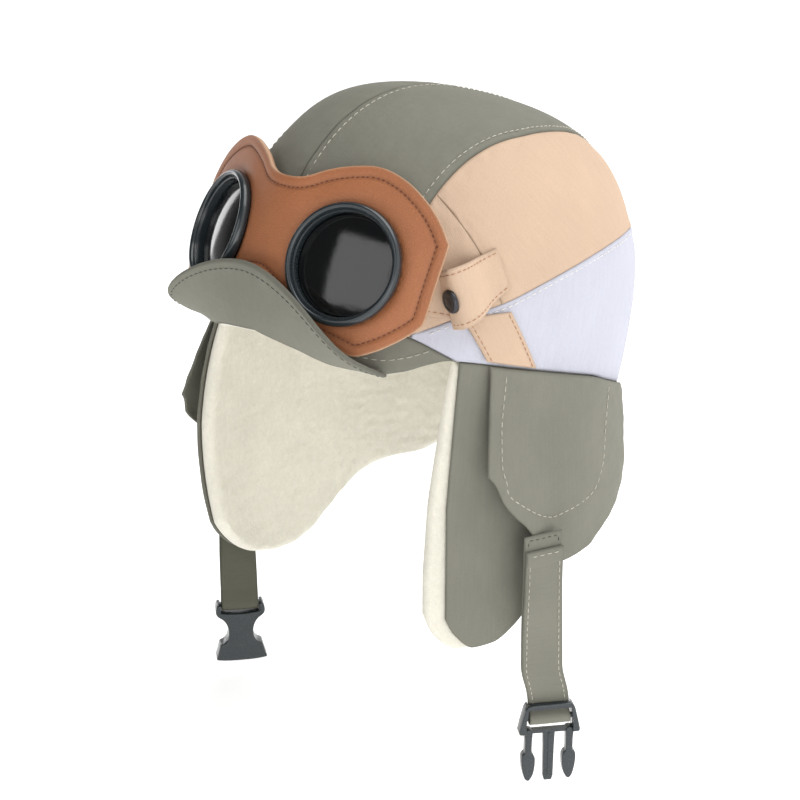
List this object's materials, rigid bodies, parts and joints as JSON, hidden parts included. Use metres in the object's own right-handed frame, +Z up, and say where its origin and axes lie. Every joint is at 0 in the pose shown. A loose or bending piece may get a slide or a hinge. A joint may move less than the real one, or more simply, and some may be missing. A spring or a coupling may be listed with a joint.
{
  "type": "aviator hat with goggles",
  "caption": "Soft flying hat with a turned-up peak, fleece-lined hanging flaps, leather goggles and an open side-release chin buckle.",
  "frame": {"origin": "centre of the head opening, in the plane of the seam between the crown and the flaps", "axes": "+Z up as worn, the hat faces -Y, the wearer's left is +X; the crown is tipped back by 17 degrees"},
  "size_m": [0.2314, 0.2267, 0.328],
  "materials": {
    "olive_cloth": "grey-olive brushed nylon cloth, fine plain weave, soft sheen",
    "beige_cloth": "warm beige brushed nylon cloth, fine plain weave",
    "lavender_cloth": "pale lavender-grey nylon cloth, fine plain weave",
    "fleece": "cream short-pile fleece",
    "tan_leather": "tan grained leather, semi-matt, lighter cut edge",
    "black_plastic": "black moulded plastic, soft gloss",
    "dark_lens": "near-black polished plastic lens",
    "gunmetal": "dark gunmetal snap cap",
    "olive_webbing": "grey-olive folded cloth strap, edge-stitched"
  },
  "bodies": {
    "root": {"front_band": "olive_cloth", "crown_top_panel_L": "olive_cloth", "crown_top_panel_R": "olive_cloth", "crown_front_panel_L": "beige_cloth", "crown_front_panel_R": "beige_cloth", "crown_side_panel_L": "beige_cloth", "crown_side_panel_R": "beige_cloth", "crown_wedge_panel_L": "lavender_cloth", "crown_wedge_panel_R": "lavender_cloth", "crown_lining": "fleece", "peak": "olive_cloth", "goggle_mask": "tan_leather", "lens_ring_L": "black_plastic", "lens_L": "dark_lens", "lens_ring_R": "black_plastic", "lens_R": "dark_lens", "side_band_L": "beige_cloth", "side_band_R": "beige_cloth", "goggle_strap_L": "beige_cloth", "goggle_strap_R": "beige_cloth", "keeper_tab_L": "beige_cloth", "keeper_tab_R": "beige_cloth", "snap_L": "gunmetal", "snap_R": "gunmetal", "flap_cover": "olive_cloth", "flap_lining": "fleece", "outer_flap_L": "olive_cloth", "outer_flap_R": "olive_cloth", "chin_strap_L": "olive_webbing", "chin_strap_R": "olive_webbing", "buckle_plug": "black_plastic", "buckle_socket": "black_plastic"}
  },
  "joints": []
}
